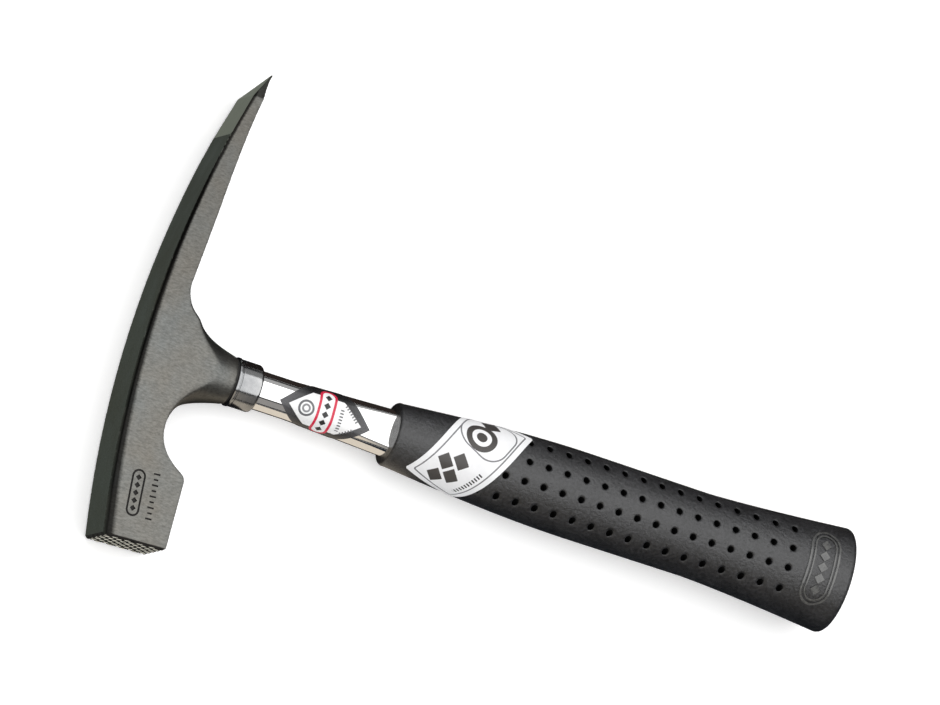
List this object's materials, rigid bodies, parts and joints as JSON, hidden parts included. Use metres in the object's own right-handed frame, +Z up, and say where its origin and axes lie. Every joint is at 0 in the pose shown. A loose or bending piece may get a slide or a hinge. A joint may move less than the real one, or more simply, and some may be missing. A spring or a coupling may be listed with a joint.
{
  "type": "rock hammer",
  "caption": "Geologist's rock hammer: forged head with a curved pick and a square chequered poll, on a chromed tube shaft with a moulded black grip.",
  "frame": {"origin": "under the middle of the tool's box, on the surface that it lies on", "axes": "+X along the handle towards the butt, +Y towards the tip of the pick, +Z up out of the upper cheek"},
  "size_m": [0.309, 0.1978, 0.0431],
  "materials": {
    "forged_steel": "forged, blasted and clear lacquered, with a ground tip",
    "seal_rubber": "matt black",
    "polished_steel": "turned and polished",
    "shaft_chrome": "bright chrome plate",
    "plug_steel": "turned",
    "core_wood": "plain turned hardwood",
    "plug_plastic": "moulded",
    "grip_rubber": "fine moulded grain with a soft sheen",
    "label_foil": "printed gloss film",
    "label_film": "printed satin film"
  },
  "bodies": {
    "root": {"head": "forged_steel", "neck_seal": "seal_rubber", "ferrule": "polished_steel", "shaft_tube": "shaft_chrome", "expansion_plug": "plug_steel", "damping_core": "core_wood", "end_plug": "plug_plastic", "grip": "grip_rubber", "tube_label": "label_foil", "grip_label": "label_film"}
  },
  "joints": []
}
